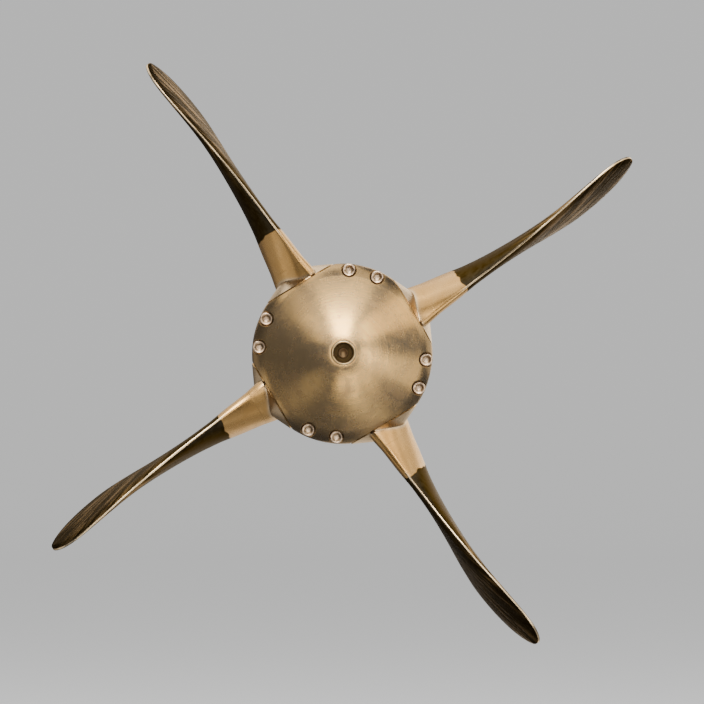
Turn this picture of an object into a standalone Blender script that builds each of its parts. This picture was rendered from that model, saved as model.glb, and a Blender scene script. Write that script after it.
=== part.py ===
"""Four-blade feathering ship propeller, modelled in its feathered position.

Metres, +Z up. The shaft axis lies along Y: the nose points to -Y, and the flat rear face of
the shaft flange lies in the plane Y = 0 with its centre at the origin. The four blades stand
in a plane across the shaft axis, and each can turn about its own radial axis.
"""
import bpy
import numpy as np
from math import atan, cos, pi, radians, sin
from mathutils import Matrix

MM = 0.001

# Driving sizes, in millimetres
TIP_RADIUS = 346.0            # shaft axis to blade tip
HUB_RADIUS = 90.0             # the housing's round body
BLADE_PLANE = 85.0            # from the flange's rear face forward to the blade axes
NOSE_HEIGHT = 80.0            # from the blade axes to the nose
STRAIGHT_BAND = 14.0          # half width of the housing's cylindrical middle
CREASE_RADIUS = 78.0          # where the rounded shoulder meets the dome
CREASE_HEIGHT = 45.0          # from the blade axes
SHOULDER_POWER = 3.0          # the shoulder draws in as this power of its height
DOME_POWER = 1.4              # the dome falls away as this power of its radius
SPLIT_GAP = 0.3               # between the two halves of the housing
SEAT_GAP = 0.3                # between pieces that touch
RUNNING_GAP = 0.4             # round the blade feet

# Blades: pitch axes, and the helix that their sections follow
BLADE_COUNT = 4
FIRST_BLADE_ANGLE = 30.7      # degrees from +X towards +Z
PITCH = 1.2 * 2 * TIP_RADIUS  # advance of the blade's helix in one turn
AXIAL_RADIUS = 205.0          # the section here stands exactly along the shaft when feathered
CAMBER_RATIO = 0.006          # camber over chord
LENS_FULLNESS = 0.85          # 1 would make the sections plain ellipses
EDGE_HALF_THICKNESS = 1.15    # half the land that is ground along both edges
EDGE_BLUNTNESS = 200          # how squarely the land ends
RAKE_AT_ROOT = 1.8            # sideways offset of the sections from the pitch axis
RAKE_AT_TIP = 12.0
RAKE_POWER = 2.3              # above 1 keeps most of the rake near the tip

# Blade outline, one row a station: radius, half chord, shift of mid chord towards the
# trailing edge, and half thickness
OUTLINE = (
    (80.0, 32.0, 0.0, 16.4),
    (84.0, 35.6, -0.5, 16.2),
    (85.5, 38.6, -1.0, 16.1),
    (89.0, 40.6, -1.5, 15.8),
    (104.0, 41.2, -2.0, 13.9),
    (128.0, 44.5, -2.0, 12.0),
    (152.0, 47.8, -3.0, 9.2),
    (176.0, 54.5, -4.5, 8.3),
    (205.0, 64.5, -7.0, 8.1),
    (235.0, 71.5, -8.0, 7.4),
    (265.0, 71.5, -3.5, 6.3),
    (295.0, 63.0, 7.0, 5.3),
    (322.0, 48.0, 20.0, 4.0),
    (346.0, 0.0, 34.0, 2.0),
)
BLADE_STATIONS = (80, 84, 85.5, 89, 96, 106, 119, 135, 154, 178, 203, 228, 253, 277, 299, 317,
                  330, 339, 344, 345.7)
BLADE_POINTS = 24             # points round one section
EDGE_CROWDING = 0.314         # 0 would space them evenly, and more moves them to the edges

# Blade foot: radii and their distances from the shaft axis
PALM_RADIUS = 37.6
PALM_RIM = 82.3               # where the palm's conical top starts
PALM_UNDERSIDE = 69.0
PALM_TOP = ((18.5, 91.3), (15.5, 94.5), (12.0, 98.0), (6.0, 100.0))
FLAT_HEIGHT = 80.8            # the flats milled on the housing round the palms
NECK_RADIUS = 25.0
FOOT_RADIUS = 34.0
FOOT_TOP = 58.0
FOOT_BOTTOM = 46.0

# Seal ring in the mouth of each socket
SEAL_INNER = 37.95
SEAL_OUTER = 39.6
SEAL_BOTTOM = 77.3
SEAL_TOP = 80.5

# Screws, M8, with sunk heads
HEAD_RADIUS = 6.5
HEAD_HEIGHT = 8.0
HEAD_EDGE = 0.6               # the bevel round every screw's head
SHANK_RADIUS = 4.0
HEXAGON_FLATS = 6.0
COUNTERBORE_RADIUS = 7.7
HOLE_BEYOND = 2.0             # a screw's hole is this much longer than the screw

# Clamping screws of the housing
SCREW_CIRCLE = 83.2           # radius of the bolt circle
SCREW_PAIR_OFFSET = 10.0      # degrees either side of midway between two blades
SCREW_SEAT = 27.0             # from the blade axes towards the nose
SCREW_LENGTH = 48.0

# Screws between the housing and the flange
INNER_SCREW_COUNT = 6
INNER_SCREW_CIRCLE = 27.0
INNER_SCREW_START = 30.0      # degrees
INNER_SCREW_LENGTH = 40.0
INNER_SCREW_SINK = 2.0        # from the heads down from the flange's rear face

# Centre of the nose
BUSH_BORE = 9.9
BUSH_OUTER = 12.2
BUSH_LENGTH = 22.0
BUSH_LIP = 0.8                # the sleeve stands proud of the dome
NOSE_SCREW_HEAD = 5.0
NOSE_SCREW_HEIGHT = 6.0
NOSE_SCREW_SHANK = 3.0
NOSE_SCREW_LENGTH = 16.0
NOSE_HEXAGON_FLATS = 5.0

# Rear of the housing and the shaft flange
HOUSING_REAR = 33.0           # the housing's rear face, from the flange's rear face forward
HOUSING_REAR_RADIUS = 60.0
HOUSING_REAR_ROUND = ((72.0, 3.0), (66.0, 0.8))  # radius, and distance in from the rear face
FLANGE_RADIUS = 65.0
FLANGE_THICKNESS = 14.0
FLANGE_EDGE = 1.5             # the bevel round the flange
FLANGE_NECK = 40.0
NECK_FILLET = 4.0             # where the neck meets the flange
COLLAR_RADIUS = 54.0          # the neck's flared end, against the housing
COLLAR_LENGTH = 8.0
BOLT_COUNT = 6
BOLT_CIRCLE = 53.0
BOLT_HOLE_RADIUS = 6.5

# Points round the turned pieces, and where their shading breaks
HUB_POINTS = 48
FLANGE_POINTS = 36
FOOT_POINTS = 32
SCREW_POINTS = 18
HOLE_POINTS = 16
BOLT_HOLE_POINTS = 12
SHOULDER_POINTS = 6
DOME_POINTS = 7
SHARP_ANGLE = radians(35)
CUTTER_REACH = 15.0           # how far cutters stand out of what they cut


def material(name, colour, metallic, roughness):
    """A plain Principled finish."""
    new = bpy.data.materials.new(name)
    new.use_nodes = True
    shader = new.node_tree.nodes["Principled BSDF"]
    shader.inputs["Base Color"].default_value = (*colour, 1.0)
    shader.inputs["Metallic"].default_value = metallic
    shader.inputs["Roughness"].default_value = roughness
    new.diffuse_color = (*colour, 1.0)
    return new


def mesh_from_loops(name, loops, ring=False):
    """Join loops of equal length into a closed skin.

    loops has shape (loop, point, 3), in millimetres. The two end loops are closed with flat
    faces, or, for a ring, the last loop joins the first one.
    """
    loops = np.asarray(loops, dtype=float) * MM
    rows, count, _ = loops.shape
    index = np.arange(rows * count).reshape(rows, count)
    upper = np.roll(index, -1, axis=0) if ring else index[1:]
    lower = index if ring else index[:-1]
    sides = np.stack([lower, np.roll(lower, -1, 1), np.roll(upper, -1, 1), upper], -1)
    faces = sides.reshape(-1, 4).tolist()
    if not ring:
        faces += [index[0, ::-1].tolist(), index[-1].tolist()]
    mesh = bpy.data.meshes.new(name)
    mesh.from_pydata(loops.reshape(-1, 3).tolist(), [], faces)
    mesh.shade_smooth()
    mesh.set_sharp_from_angle(angle=SHARP_ANGLE)
    return mesh


def turned(name, profile, count, ring=False):
    """Turn a profile of (radius, height) points about +Z, from its lowest end to its highest.

    A ring's profile runs up its outer side and down its bore.
    """
    profile = np.asarray(profile, dtype=float)
    angle = np.arange(count) * 2 * pi / count
    circle = np.stack([np.cos(angle), np.sin(angle)], -1)
    loops = np.zeros((len(profile), count, 3))
    loops[..., :2] = profile[:, None, :1] * circle
    loops[..., 2] = profile[:, None, 1]
    return mesh_from_loops(name, loops, ring)


def add(name, mesh, finish, place=None, parent=None):
    """Put a mesh in the scene as one named object."""
    item = bpy.data.objects.new(name, mesh)
    bpy.context.collection.objects.link(item)
    if finish is not None:
        mesh.materials.clear()
        mesh.materials.append(finish)
    if parent is not None:
        item.parent = parent
    if place is not None:
        item.matrix_local = place
    return item


def guide(name, mesh):
    """Add an object that only cuts or joins others."""
    item = add(name, mesh, None)
    item.hide_render = True
    item.display_type = "WIRE"
    return item


def boolean(item, other, operation):
    """Cut or join item with other, exactly."""
    step = item.modifiers.new(other.name, "BOOLEAN")
    step.operation = operation
    step.solver = "EXACT"
    step.object = other


def along_shaft(radius=0.0, angle=0.0, height=0.0):
    """A place whose +Z points to the nose, at a radius and angle about the shaft axis.

    height counts from the plane of the blade axes towards the nose.
    """
    x = radius * cos(radians(angle)) * MM
    z = radius * sin(radians(angle)) * MM
    y = -(BLADE_PLANE + height) * MM
    return Matrix.Translation((x, y, z)) @ Matrix.Rotation(radians(90), 4, "X")


def facing_rear(radius=0.0, angle=0.0, height=0.0):
    """The same place, but with its +Z pointing to the rear."""
    return along_shaft(radius, angle, height) @ Matrix.Rotation(pi, 4, "X")


def blade_angles():
    """Angles of the pitch axes about the shaft, in degrees."""
    return [FIRST_BLADE_ANGLE + k * 360 / BLADE_COUNT for k in range(BLADE_COUNT)]


def along_blade(angle):
    """A place at the hub's centre whose +Z points outwards along a blade's pitch axis."""
    turn = Matrix.Rotation(radians(90 - angle), 4, "Y")
    return Matrix.Translation((0, -BLADE_PLANE * MM, 0)) @ turn


def cutter(name, mesh, places):
    """A guide that holds a copy of one mesh at each place, as a single mesh."""
    points = np.array([vertex.co for vertex in mesh.vertices])
    points = np.column_stack([points, np.ones(len(points))])
    faces = [tuple(face.vertices) for face in mesh.polygons]
    all_points = [points @ np.array(place).T[:, :3] for place in places]
    all_faces = [[corner + k * len(points) for corner in face]
                 for k in range(len(places)) for face in faces]
    joined = bpy.data.meshes.new(name)
    joined.from_pydata(np.concatenate(all_points).tolist(), [], all_faces)
    return guide(name, joined)


def evaluated_mesh(item, name):
    """The mesh of an object with its modifiers worked out."""
    graph = bpy.context.evaluated_depsgraph_get()
    mesh = bpy.data.meshes.new_from_object(item.evaluated_get(graph))
    mesh.name = name
    return mesh


def smooth_curve(stations, values, at):
    """A cubic curve through the stations that never overshoots them (monotone slopes)."""
    steps = np.diff(stations)
    rises = np.diff(values) / steps
    slopes = np.zeros(len(values))
    turns = rises[:-1] * rises[1:] > 0
    total = rises[:-1] + rises[1:]
    safe = np.where(turns, total, 1.0)
    slopes[1:-1] = np.where(turns, 2 * rises[:-1] * rises[1:] / safe, 0.0)
    slopes[0], slopes[-1] = rises[0], rises[-1]
    k = np.clip(np.searchsorted(stations, at) - 1, 0, len(steps) - 1)
    t = (at - stations[k]) / steps[k]
    start, end = values[k], values[k + 1]
    bend_in = slopes[k] * steps[k]
    bend_out = slopes[k + 1] * steps[k]
    return (start * (2 * t**3 - 3 * t**2 + 1) + bend_in * (t**3 - 2 * t**2 + t)
            + end * (3 * t**2 - 2 * t**3) + bend_out * (t**3 - t**2))


def section_shape(half_chord, half_thickness):
    """Points round the sections, as distances along each chord and across it.

    A section is a slender lens about a slightly cambered line. Its edges end in a narrow
    ground land, which a much blunter ellipse of the land's thickness is blended in for.
    """
    angle = np.arange(BLADE_POINTS) * 2 * pi / BLADE_POINTS
    angle = angle - EDGE_CROWDING * np.sin(2 * angle)
    along, across = np.cos(angle), np.sin(angle)
    height = np.abs(across)
    lens = half_thickness * height * (LENS_FULLNESS + (1 - LENS_FULLNESS) * height)
    land = np.minimum(EDGE_HALF_THICKNESS, half_thickness)
    land = land * np.sqrt(1 - np.abs(along) ** EDGE_BLUNTNESS)
    camber = CAMBER_RATIO * 2 * half_chord * (1 - along**2)
    return half_chord * along, np.sign(across) * np.hypot(lens, land) + camber


def airfoil_loops():
    """The blade's sections in its own frame, where +Z is the pitch axis and -Y is the nose.

    Each section is turned by the helix angle at its radius, less the helix angle where the
    section lies along the shaft, and is shifted sideways by the rake. Half chords are
    interpolated as squares, so the tip closes round.
    """
    radius = np.array(BLADE_STATIONS, dtype=float)
    table = np.array(OUTLINE)
    half_chord = np.sqrt(smooth_curve(table[:, 0], table[:, 1] ** 2, radius))
    shift = smooth_curve(table[:, 0], table[:, 2], radius)
    half_thickness = smooth_curve(table[:, 0], table[:, 3], radius)
    helix = np.arctan(PITCH / (2 * pi * radius)) - atan(PITCH / (2 * pi * AXIAL_RADIUS))
    part = np.clip((radius - HUB_RADIUS) / (TIP_RADIUS - HUB_RADIUS), 0, 1)
    rake = RAKE_AT_ROOT + (RAKE_AT_TIP - RAKE_AT_ROOT) * np.sin(pi / 2 * part**RAKE_POWER) ** 2
    chordwise, thickness = section_shape(half_chord[:, None], half_thickness[:, None])
    chordwise = chordwise + shift[:, None]
    turn_cos, turn_sin = np.cos(helix)[:, None], np.sin(helix)[:, None]
    loops = np.empty((len(radius), BLADE_POINTS, 3))
    loops[..., 0] = chordwise * turn_sin - thickness * turn_cos - rake[:, None]
    loops[..., 1] = -chordwise * turn_cos - thickness * turn_sin
    loops[..., 2] = radius[:, None]
    return loops


def blade_mesh():
    """One blade: its lens-shaped sections joined with the turned foot."""
    foot_profile = [
        (FOOT_RADIUS, FOOT_BOTTOM), (FOOT_RADIUS, FOOT_TOP), (NECK_RADIUS, FOOT_TOP),
        (NECK_RADIUS, PALM_UNDERSIDE), (PALM_RADIUS, PALM_UNDERSIDE), (PALM_RADIUS, PALM_RIM),
        *PALM_TOP]
    foot = guide("foot_shape", turned("foot_shape", foot_profile, FOOT_POINTS))
    whole = guide("blade_shape", mesh_from_loops("blade_shape", airfoil_loops()))
    boolean(whole, foot, "UNION")
    mesh = evaluated_mesh(whole, "blade")
    mesh.shade_smooth()
    mesh.set_sharp_from_angle(angle=SHARP_ANGLE)
    return mesh


def screw_mesh(name, head_radius, head_height, shank_radius, length, flats):
    """A socket head cap screw that points to -Z, with its head's underside at height 0.

    The hexagon has as many points as the head, so that the socket is one run of loops.
    """
    angle = np.arange(SCREW_POINTS) * 2 * pi / SCREW_POINTS
    to_middle = (angle + pi / 6) % (pi / 3) - pi / 6
    circle = np.stack([np.cos(angle), np.sin(angle)], -1)
    hexagon = circle / np.cos(to_middle)[:, None] * flats / 2
    socket_depth = head_height / 2
    rings = [(circle * shank_radius, -length), (circle * shank_radius, 0.0),
             (circle * head_radius, 0.0), (circle * head_radius, head_height - HEAD_EDGE),
             (circle * (head_radius - HEAD_EDGE), head_height),
             (hexagon, head_height), (hexagon, head_height - socket_depth)]
    loops = [np.column_stack([points, np.full(SCREW_POINTS, z)]) for points, z in rings]
    return mesh_from_loops(name, loops)


def screw_hole(name, length, reach):
    """The stepped hole for a screw, open for reach above the seat of its head."""
    drill = SHANK_RADIUS + SEAT_GAP
    profile = [(drill, -length - HOLE_BEYOND), (drill, -SEAT_GAP),
               (COUNTERBORE_RADIUS, -SEAT_GAP), (COUNTERBORE_RADIUS, reach)]
    return turned(name, profile, HOLE_POINTS)


def clamping_screw_places():
    """Places of the clamping screws, in pairs midway between two blades."""
    midway = 180 / BLADE_COUNT
    return [along_shaft(SCREW_CIRCLE, angle + midway + offset, SCREW_SEAT)
            for angle in blade_angles() for offset in (-SCREW_PAIR_OFFSET, SCREW_PAIR_OFFSET)]


def flange_screw_places():
    """Places of the screws that hold the flange to the housing, at their head seats."""
    seat = HEAD_HEIGHT + INNER_SCREW_SINK - BLADE_PLANE
    angles = [INNER_SCREW_START + k * 360 / INNER_SCREW_COUNT for k in range(INNER_SCREW_COUNT)]
    return [facing_rear(INNER_SCREW_CIRCLE, angle, seat) for angle in angles]


def barrel_side():
    """Points up the housing's side: a straight band, then a rounded shoulder to the crease."""
    part = np.linspace(0, 1, SHOULDER_POINTS)
    height = STRAIGHT_BAND + (CREASE_HEIGHT - STRAIGHT_BAND) * part
    radius = HUB_RADIUS - (HUB_RADIUS - CREASE_RADIUS) * part**SHOULDER_POWER
    return [(HUB_RADIUS, SPLIT_GAP / 2), *zip(radius, height)]


def nose_profile():
    """Outline of the nose half, from the split up over the crease and down the centre hole."""
    reach = BUSH_OUTER + SEAT_GAP
    part = np.linspace(1, 0, DOME_POINTS)[1:]
    radius = reach + (CREASE_RADIUS - reach) * part
    height = CREASE_HEIGHT + (NOSE_HEIGHT - CREASE_HEIGHT) * (1 - part**DOME_POWER)
    floor = NOSE_HEIGHT - BUSH_LENGTH - SEAT_GAP
    drill = NOSE_SCREW_SHANK + SEAT_GAP
    bottom = floor - NOSE_SCREW_LENGTH - HOLE_BEYOND
    return [*barrel_side(), *zip(radius, height), (reach, floor), (drill, floor),
            (drill, bottom)]


def shaft_side_profile():
    """Outline of the shaft half as seen from behind, with heights counted to the rear."""
    rear = BLADE_PLANE - HOUSING_REAR
    rounding = [(radius, rear - inwards) for radius, inwards in HOUSING_REAR_ROUND]
    return [*barrel_side(), *rounding, (HOUSING_REAR_RADIUS, rear)]


def socket_profile():
    """The room for a blade's foot, and the wider mouth that holds the seal ring."""
    gap = RUNNING_GAP
    mouth = SEAL_OUTER + SEAT_GAP
    return [(FOOT_RADIUS + gap, FOOT_BOTTOM - gap), (FOOT_RADIUS + gap, FOOT_TOP + gap),
            (NECK_RADIUS + gap, FOOT_TOP + gap), (NECK_RADIUS + gap, PALM_UNDERSIDE - gap),
            (PALM_RADIUS + gap, PALM_UNDERSIDE - gap),
            (PALM_RADIUS + gap, SEAL_BOTTOM - SEAT_GAP), (mouth, SEAL_BOTTOM - SEAT_GAP),
            (mouth, HUB_RADIUS + CUTTER_REACH)]


def flat_block():
    """A block whose underside is the flat milled under the rim of one blade's palm."""
    square = np.array([(-1, -1), (1, -1), (1, 1), (-1, 1)]) * (PALM_RADIUS + CUTTER_REACH)
    heights = (FLAT_HEIGHT, HUB_RADIUS + CUTTER_REACH)
    return mesh_from_loops("flat", [np.column_stack([square, np.full(4, z)]) for z in heights])


def housing(inner_screw_holes):
    """Both halves of the hub, with the clamping screws."""
    blade_places = [along_blade(angle) for angle in blade_angles()]
    flats = cutter("flats", flat_block(), blade_places)
    sockets = cutter("sockets", turned("socket", socket_profile(), FOOT_POINTS), blade_places)
    screw_places = clamping_screw_places()
    holes = cutter("screw_holes", screw_hole("screw_hole", SCREW_LENGTH, NOSE_HEIGHT),
                   screw_places)
    nose = add("nose_half", turned("nose_half", nose_profile(), HUB_POINTS), BRONZE,
               along_shaft())
    rear = add("shaft_half", turned("shaft_half", shaft_side_profile(), HUB_POINTS), BRONZE,
               facing_rear())
    for half in (nose, rear):
        for tool in (flats, sockets, holes):
            boolean(half, tool, "DIFFERENCE")
    boolean(rear, inner_screw_holes, "DIFFERENCE")
    screw = screw_mesh("cap_screw", HEAD_RADIUS, HEAD_HEIGHT, SHANK_RADIUS, SCREW_LENGTH,
                       HEXAGON_FLATS)
    for number, place in enumerate(screw_places, 1):
        add(f"cap_screw_{number}", screw, STEEL, place)


def nose_centre():
    """The lipped sleeve in the centre hole and the small screw at its bottom."""
    floor = NOSE_HEIGHT - BUSH_LENGTH
    top = NOSE_HEIGHT + BUSH_LIP
    profile = [(BUSH_BORE, floor), (BUSH_OUTER, floor), (BUSH_OUTER, NOSE_HEIGHT),
               (BUSH_OUTER - 0.9 * BUSH_LIP, top - 0.25 * BUSH_LIP),
               (BUSH_OUTER - 1.6 * BUSH_LIP, top), (BUSH_BORE + 0.6 * BUSH_LIP, top - BUSH_LIP / 2),
               (BUSH_BORE, NOSE_HEIGHT - 0.4 * BUSH_LIP)]
    add("nose_bush", turned("nose_bush", profile, FOOT_POINTS, ring=True), BRIGHT_BRONZE,
        along_shaft())
    screw = screw_mesh("nose_screw", NOSE_SCREW_HEAD, NOSE_SCREW_HEIGHT, NOSE_SCREW_SHANK,
                       NOSE_SCREW_LENGTH, NOSE_HEXAGON_FLATS)
    add("nose_screw", screw, STEEL, along_shaft(height=floor))


def shaft_flange(inner_screw_holes):
    """The flange that carries the hub on its shaft, with its bolt holes and screws."""
    front = HOUSING_REAR - SEAT_GAP
    foot = FLANGE_THICKNESS
    profile = [(FLANGE_RADIUS - FLANGE_EDGE, 0.0), (FLANGE_RADIUS, FLANGE_EDGE),
               (FLANGE_RADIUS, foot - FLANGE_EDGE), (FLANGE_RADIUS - FLANGE_EDGE, foot),
               (FLANGE_NECK + NECK_FILLET, foot), (FLANGE_NECK, foot + NECK_FILLET),
               (FLANGE_NECK, front - COLLAR_LENGTH), (COLLAR_RADIUS, front)]
    flange = add("shaft_flange", turned("shaft_flange", profile, FLANGE_POINTS), BRONZE,
                 along_shaft(height=-BLADE_PLANE))
    boolean(flange, inner_screw_holes, "DIFFERENCE")
    hole = turned("bolt_hole", [(BOLT_HOLE_RADIUS, -CUTTER_REACH),
                                (BOLT_HOLE_RADIUS, foot + CUTTER_REACH / 2)], BOLT_HOLE_POINTS)
    places = [along_shaft(BOLT_CIRCLE, k * 360 / BOLT_COUNT, -BLADE_PLANE)
              for k in range(BOLT_COUNT)]
    boolean(flange, cutter("bolt_holes", hole, places), "DIFFERENCE")
    screw = screw_mesh("flange_screw", HEAD_RADIUS, HEAD_HEIGHT, SHANK_RADIUS,
                       INNER_SCREW_LENGTH, HEXAGON_FLATS)
    for number, place in enumerate(flange_screw_places(), 1):
        add(f"flange_screw_{number}", screw, STEEL, place)


def blades():
    """Four blades, each parented to an empty on its pitch axis, with their seal rings."""
    blade = blade_mesh()
    seal_profile = [(SEAL_INNER, SEAL_BOTTOM), (SEAL_OUTER, SEAL_BOTTOM),
                    (SEAL_OUTER, SEAL_TOP), (SEAL_INNER, SEAL_TOP)]
    seal = turned("palm_seal", seal_profile, FOOT_POINTS, ring=True)
    for number, angle in enumerate(blade_angles(), 1):
        axis = bpy.data.objects.new(f"pitch_axis_{number}", None)
        bpy.context.collection.objects.link(axis)
        axis.matrix_local = along_blade(angle)
        add(f"blade_{number}", blade, BLADE_BRONZE, parent=axis)
        add(f"palm_seal_{number}", seal, RUBBER, along_blade(angle))


for old in list(bpy.data.objects):
    bpy.data.objects.remove(old)

BRONZE = material("hub_bronze", (0.42, 0.29, 0.12), 1.0, 0.34)
BRIGHT_BRONZE = material("bright_bronze", (0.72, 0.53, 0.25), 1.0, 0.22)
BLADE_BRONZE = material("blade_bronze", (0.30, 0.19, 0.09), 1.0, 0.42)
STEEL = material("screw_steel", (0.62, 0.58, 0.54), 1.0, 0.28)
RUBBER = material("seal_rubber", (0.02, 0.02, 0.02), 0.0, 0.7)

inner_holes = cutter("flange_screw_holes",
                     screw_hole("flange_screw_hole", INNER_SCREW_LENGTH, HUB_RADIUS),
                     flange_screw_places())
housing(inner_holes)
nose_centre()
shaft_flange(inner_holes)
blades()
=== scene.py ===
# %% [markdown]
# # A feathering ship propeller in bronze
# Four blades of cast bronze turn in a two-part hub. Here they stand feathered, so the camera
# on the shaft axis sees them edge-on. The construction comes in as a fixed frame. This lesson
# gives it its looks: smooth surfaces from numpy, and finishes built from shader nodes.

# %% Load the fixed frame
from math import pi, radians

import bmesh
import bpy
import numpy as np
from mathutils import Matrix, Vector


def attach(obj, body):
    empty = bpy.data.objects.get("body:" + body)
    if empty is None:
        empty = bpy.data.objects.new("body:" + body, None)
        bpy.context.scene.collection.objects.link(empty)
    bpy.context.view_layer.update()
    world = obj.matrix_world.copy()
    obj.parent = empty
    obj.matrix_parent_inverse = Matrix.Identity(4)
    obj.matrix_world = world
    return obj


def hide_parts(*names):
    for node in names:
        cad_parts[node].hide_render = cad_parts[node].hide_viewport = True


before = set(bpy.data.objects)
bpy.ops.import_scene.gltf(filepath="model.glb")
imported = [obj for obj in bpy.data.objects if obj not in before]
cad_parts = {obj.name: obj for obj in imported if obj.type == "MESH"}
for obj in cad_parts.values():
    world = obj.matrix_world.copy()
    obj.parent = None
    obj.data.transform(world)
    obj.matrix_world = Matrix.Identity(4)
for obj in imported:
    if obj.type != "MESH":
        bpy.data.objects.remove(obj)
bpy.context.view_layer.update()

# %% [markdown]
# ## Sizes
# The frame is in metres, with the shaft axis along Y, the nose towards -Y and the flange's
# rear face at Y = 0. Machinists think in millimetres, so the sizes below do too, and each
# surface is scaled once, when it becomes a mesh.

# %% Driving sizes, in millimetres
MM = 0.001
BLADE_PLANE = 85.0
TIP_RADIUS = 346.0
HUB_RADIUS = 90.0
NOSE_HEIGHT = 80.0
BLADE_COUNT = 4
FIRST_BLADE_ANGLE = 30.7
BLADE_STEP = 360 / BLADE_COUNT
BLADE_ANGLES = [FIRST_BLADE_ANGLE + k * BLADE_STEP for k in range(BLADE_COUNT)]
BODIES = ["first_blade", "second_blade", "third_blade", "fourth_blade"]
SEAT_GAP = 0.3
RUNNING_GAP = 0.4

# %% [markdown]
# ## Camera
# The photograph looks along the shaft axis, a little from the left and from below: the nose
# stands 1.7 pixels right and 1.2 pixels above the hub's middle. One pixel is one millimetre
# at the blades. A lens nearby would show the blades' near edges larger than their far ones,
# so the camera stands five metres away.

# %% Camera
FRAME_PIXELS = 704
HUB_PIXEL = (342, 354)
CAMERA_DISTANCE = 5.0
SENSOR_WIDTH = 36.0
VIEW_FROM_LEFT = radians(1.2)
VIEW_FROM_BELOW = radians(0.9)


def shown(name, data):
    """A new object for a mesh, a lamp or a camera."""
    item = bpy.data.objects.new(name, data)
    bpy.context.scene.collection.objects.link(item)
    return item


hub_middle = Vector((0, -BLADE_PLANE * MM, 0))
middle = FRAME_PIXELS / 2
aim = hub_middle + Vector(((middle - HUB_PIXEL[0]) * MM, 0, (HUB_PIXEL[1] - middle) * MM))
toward_camera = Vector((-np.sin(VIEW_FROM_LEFT), -1, -np.sin(VIEW_FROM_BELOW))).normalized()

camera_data = bpy.data.cameras.new("camera")
camera_data.sensor_width = SENSOR_WIDTH
camera_data.lens = SENSOR_WIDTH * CAMERA_DISTANCE / (FRAME_PIXELS * MM)
camera = shown("camera", camera_data)
camera.location = aim + toward_camera * CAMERA_DISTANCE
camera.rotation_euler = (-toward_camera).to_track_quat("-Z", "Y").to_euler()
bpy.context.scene.camera = camera
print("lens:", round(camera_data.lens, 1), "mm at", CAMERA_DISTANCE, "m")

# %% [markdown]
# ## Shader sums as plain Python
# A node tree drawn by hand is hard to read back. Here a small class wraps a shader socket,
# and its + - * add Math nodes, so a mask reads like a formula. Every other node comes from
# one method, `node`.

# %% Finish and Value classes
class Value:
    """A shader socket that can stand in a Python expression."""

    def __init__(self, finish, socket):
        self.finish, self.socket = finish, socket

    def maths(self, operation, *others):
        return self.finish.node("ShaderNodeMath", dict(enumerate((self, *others))),
                                operation=operation)

    def __add__(self, other):
        return self.maths("ADD", other)

    def __sub__(self, other):
        return self.maths("SUBTRACT", other)

    def __mul__(self, other):
        return self.maths("MULTIPLY", other)

    def __rsub__(self, other):
        return self.finish.node("ShaderNodeMath", {0: other, 1: self}, operation="SUBTRACT")

    __radd__ = __add__
    __rmul__ = __mul__


class Finish:
    """One material, built from expressions."""

    def __init__(self, name):
        self.material = bpy.data.materials.new(name)
        self.material.use_nodes = True
        self.tree = self.material.node_tree
        self.tree.nodes.clear()

    def node(self, kind, sockets=(), output=0, **settings):
        """Add a node: its own settings first, then the values or links of its sockets."""
        new = self.tree.nodes.new(kind)
        for key, value in settings.items():
            setattr(new, key, value)
        for key, value in dict(sockets).items():
            if isinstance(value, Value):
                self.tree.links.new(value.socket, new.inputs[key])
            else:
                new.inputs[key].default_value = value
        return Value(self, new.outputs[output])

    def place(self):
        """Object coordinates, which are places in metres."""
        return self.node("ShaderNodeTexCoord", output=3)

    def attribute(self, name, output=2):
        """An attribute of the mesh. Output 2 is its number and output 1 its vector."""
        return self.node("ShaderNodeAttribute", output=output, attribute_name=name)

    def ramp(self, value, low, high, out_low=0.0, out_high=1.0):
        """Map a value's low to high smoothly onto out_low to out_high, held at both ends."""
        return self.node("ShaderNodeMapRange", interpolation_type="SMOOTHSTEP",
                         sockets={0: value, 1: low, 2: high, 3: out_low, 4: out_high})

    def mix(self, factor, first, second):
        """Blend two colours."""
        pair = [(*c, 1) if isinstance(c, tuple) else c for c in (first, second)]
        return self.node("ShaderNodeMix", {0: factor, 6: pair[0], 7: pair[1]}, output=2,
                         data_type="RGBA")

    def noise(self, vector, scale, detail=3.0, roughness=0.5, distortion=0.0):
        """Cloudy noise, from about 0.3 to 0.7."""
        return self.node("ShaderNodeTexNoise",
                         {"Vector": vector, "Scale": scale, "Detail": detail,
                          "Roughness": roughness, "Distortion": distortion})

    def stretched(self, vector, size, turn=(0, 0, 0)):
        """A vector turned and divided by a size in metres, for streaks of that size."""
        return self.node("ShaderNodeMapping", vector_type="TEXTURE",
                         sockets={"Vector": vector, "Rotation": turn, "Scale": size})

    def parts(self, vector):
        """The three numbers in a vector."""
        split = self.node("ShaderNodeSeparateXYZ", {0: vector}).socket.node
        return [Value(self, output) for output in split.outputs]

    def bump(self, height, depth, under=None):
        """A normal from a height between 0 and 1 that stands for depth metres."""
        below = {} if under is None else {"Normal": under}
        return self.node("ShaderNodeBump", {"Height": height, "Distance": depth, **below})

    def principled(self, **sockets):
        """A Principled shader, its sockets named in lower case."""
        names = {key.replace("_", " ").title().replace("Ior", "IOR"): value
                 for key, value in sockets.items()}
        return self.node("ShaderNodeBsdfPrincipled", names)

    def done(self, shader):
        """Close the material with a shader."""
        output = self.tree.nodes.new("ShaderNodeOutputMaterial")
        self.tree.links.new(shader.socket, output.inputs["Surface"])
        return self.material

    def blend(self, factor, first, second):
        """Mix two shaders."""
        return self.node("ShaderNodeMixShader", {0: factor, 1: first, 2: second})

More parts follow.
